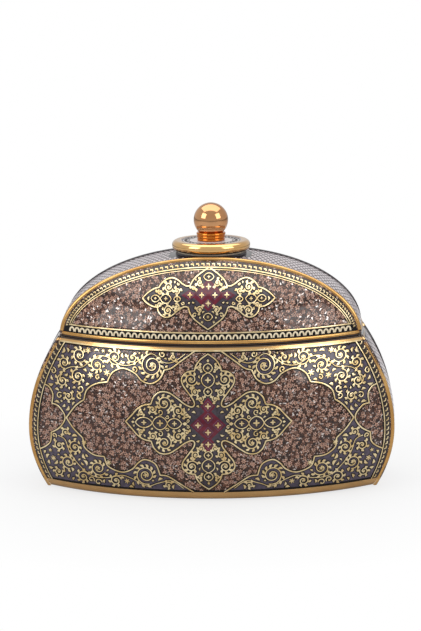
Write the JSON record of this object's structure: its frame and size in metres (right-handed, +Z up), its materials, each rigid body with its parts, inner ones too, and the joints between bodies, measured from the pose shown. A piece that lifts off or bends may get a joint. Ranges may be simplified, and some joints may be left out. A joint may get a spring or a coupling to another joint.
{
  "type": "candy dish",
  "caption": "Arched candy dish with bowed panels, a lift-off lid and a ball knob on a round flange, glazed and gilded with traditional medallions and scrolls.",
  "frame": {"origin": "on the table, under the middle of the dish", "axes": "+Z up, +X along the dish's long side, +Y from the front panel to the back panel"},
  "size_m": [0.2208, 0.14, 0.1701],
  "materials": {
    "glazed_ware": "high gloss glaze over a dark slate and brown ground with gilded ornament",
    "gilding": "burnished pale gold on raised beads and line work",
    "gilded_metal": "polished copper gold plate",
    "collar_metal": "polished amber gold plate",
    "fastener_steel": "bright zinc plate",
    "seal": "translucent soft silicone",
    "pad": "matt black soft pad"
  },
  "bodies": {
    "bowl": {"body": "glazed_ware", "foot_pads": "pad"},
    "lid": {"lid": "glazed_ware", "flange_gasket": "seal", "flange_disc": "gilded_metal", "knob_collar": "collar_metal", "knob_ball": "gilded_metal", "knob_stud": "fastener_steel", "inner_gasket": "seal", "inner_washer": "fastener_steel", "dome_nut": "fastener_steel"}
  },
  "joints": [
    {"name": "lid_lift", "type": "slide", "parent": "bowl", "child": "lid", "axis": [0, 0, 1], "range_m": [0, 0.18]}
  ]
}
